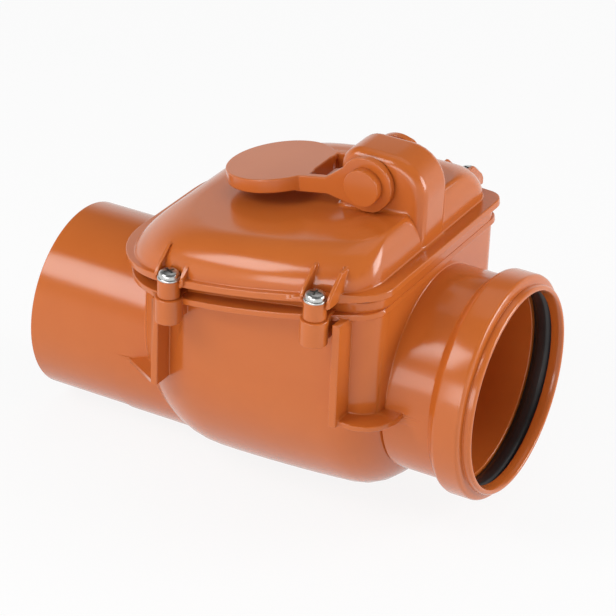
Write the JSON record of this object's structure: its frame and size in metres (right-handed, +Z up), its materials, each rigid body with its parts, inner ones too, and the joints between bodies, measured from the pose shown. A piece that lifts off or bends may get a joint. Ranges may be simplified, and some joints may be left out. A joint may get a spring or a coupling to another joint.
{
  "type": "backwater valve",
  "caption": "Inline drain backwater valve: spigot outlet, raised socket inlet, bowed chamber with screwed domed cover, hinged flap inside and a hand lever that locks the flap shut.",
  "frame": {"origin": "centre of the outlet spigot's open end, on the spigot's axis", "axes": "+X along the pipes from the outlet spigot to the inlet socket, +Y across, +Z up"},
  "size_m": [0.283, 0.1938, 0.203],
  "materials": {
    "body_plastic": "satin moulded PVC",
    "cover_plastic": "satin moulded PVC",
    "lever_plastic": "satin moulded PVC",
    "flap_plastic": "satin moulded PVC",
    "seal_rubber": "smooth black rubber",
    "zinc_steel": "bright zinc"
  },
  "bodies": {
    "housing": {"valve_body": "body_plastic", "socket_lip_seal": "seal_rubber", "cover": "cover_plastic", "cover_gasket": "seal_rubber", "cover_screw_1": "zinc_steel", "cover_screw_2": "zinc_steel", "cover_screw_3": "zinc_steel", "cover_screw_4": "zinc_steel", "flap_hinge_pin": "zinc_steel", "pin_clip_front": "zinc_steel", "pin_clip_rear": "zinc_steel"},
    "lock_lever": {"lever": "lever_plastic", "lever_shaft": "lever_plastic", "shaft_end_cap": "lever_plastic", "shaft_oring_front": "seal_rubber", "shaft_oring_rear": "seal_rubber", "locking_finger": "lever_plastic"},
    "backflow_flap": {"flap": "flap_plastic", "flap_seal": "seal_rubber"}
  },
  "joints": [
    {"name": "lever_turn", "type": "hinge", "parent": "housing", "child": "lock_lever", "pos_m": [0.193, 0, 0.13], "axis": [0, 1, 0], "range_deg": [0, 95]},
    {"name": "flap_swing", "type": "hinge", "parent": "housing", "child": "backflow_flap", "pos_m": [0.204, 0, 0.086], "axis": [0, 1, 0], "range_deg": [0, 68]}
  ]
}
